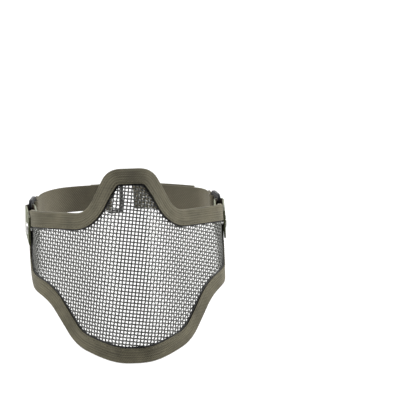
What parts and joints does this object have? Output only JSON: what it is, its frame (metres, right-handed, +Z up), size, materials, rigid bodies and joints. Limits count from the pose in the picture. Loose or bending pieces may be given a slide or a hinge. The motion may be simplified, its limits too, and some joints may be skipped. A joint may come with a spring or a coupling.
{
  "type": "wire mesh half-face mask",
  "caption": "Half-face mask of formed wire mesh with bound edge, riveted side tabs, tri-glides and an open two-part rear strap with ring.",
  "frame": {"origin": "centre of the wearer's head, level with the two side rivets and midway between them", "axes": "+X towards the right seen from the front, -Y out of the front of the face, +Z up towards the nose bridge"},
  "size_m": [0.1826, 0.2115, 0.164],
  "materials": {
    "wire_paint": "semi-matt dark grey paint",
    "black_trim": "matt black edge trim",
    "olive_ribbon": "olive drab grosgrain ribbon",
    "green_tape": "green olive brushed tape",
    "khaki_webbing": "khaki woven webbing",
    "dark_hook": "dark hook and loop layer",
    "thread": "khaki sewing thread",
    "black_plastic": "moulded black nylon",
    "silver_metal": "bright plated steel"
  },
  "bodies": {
    "mask": {"face_mesh": "wire_paint", "edge_guard": "black_trim", "edge_binding": "olive_ribbon", "left_eyelet": "silver_metal", "left_eyelet_washer": "silver_metal", "right_eyelet": "silver_metal", "right_eyelet_washer": "silver_metal"},
    "left_tab_body": {"left_tab": "green_tape"},
    "right_tab_body": {"right_tab": "green_tape"},
    "left_triglide_body": {"left_triglide": "black_plastic"},
    "right_triglide_body": {"right_triglide": "black_plastic"},
    "left_strap_body": {"left_strap": "khaki_webbing", "left_strap_front_stitch": "thread", "left_strap_rear_stitch": "thread"},
    "ring_body": {"strap_ring": "black_plastic"},
    "right_strap_body": {"right_strap": "khaki_webbing", "right_strap_stitch": "thread", "hook_patch": "dark_hook"},
    "tail_body": {"tail_flap": "khaki_webbing", "loop_patch": "dark_hook", "tail_stitch": "thread"}
  },
  "joints": [
    {"name": "left_tab_pivot", "type": "hinge", "parent": "mask", "child": "left_tab_body", "pos_m": [-0.08368, -0.01999, 0], "axis": [-0.996, -0.0897, 0], "range_deg": [-15, 15]},
    {"name": "right_tab_pivot", "type": "hinge", "parent": "mask", "child": "right_tab_body", "pos_m": [0.08368, -0.01999, 0], "axis": [0.996, -0.0897, 0], "range_deg": [-15, 15]},
    {"name": "left_triglide_swing", "type": "hinge", "parent": "left_tab_body", "child": "left_triglide_body", "pos_m": [-0.08635, 0.00969, 0.00854], "axis": [0.0247, -0.2745, 0.9613], "range_deg": [-25, 30]},
    {"name": "right_triglide_swing", "type": "hinge", "parent": "right_tab_body", "child": "right_triglide_body", "pos_m": [0.08635, 0.00969, 0.00854], "axis": [-0.0247, -0.2745, 0.9613], "range_deg": [-30, 25]},
    {"name": "left_strap_swing", "type": "hinge", "parent": "left_triglide_body", "child": "left_strap_body", "pos_m": [-0.08305, 0.02595, 0.0131], "axis": [0.0247, -0.2745, 0.9613], "range_deg": [-20, 70]},
    {"name": "right_strap_swing", "type": "hinge", "parent": "right_triglide_body", "child": "right_strap_body", "pos_m": [0.08305, 0.02595, 0.0131], "axis": [-0.0247, -0.2745, 0.9613], "range_deg": [-70, 20]},
    {"name": "ring_swing", "type": "hinge", "parent": "left_strap_body", "child": "ring_body", "pos_m": [-0.013, 0.08343, 0.02772], "axis": [0.0247, -0.2745, 0.9613], "range_deg": [-50, 50]},
    {"name": "tail_peel", "type": "hinge", "parent": "right_strap_body", "child": "tail_body", "pos_m": [0.01227, 0.08468, 0.02806], "axis": [-0.0247, -0.2745, 0.9613], "range_deg": [0, 75]}
  ]
}
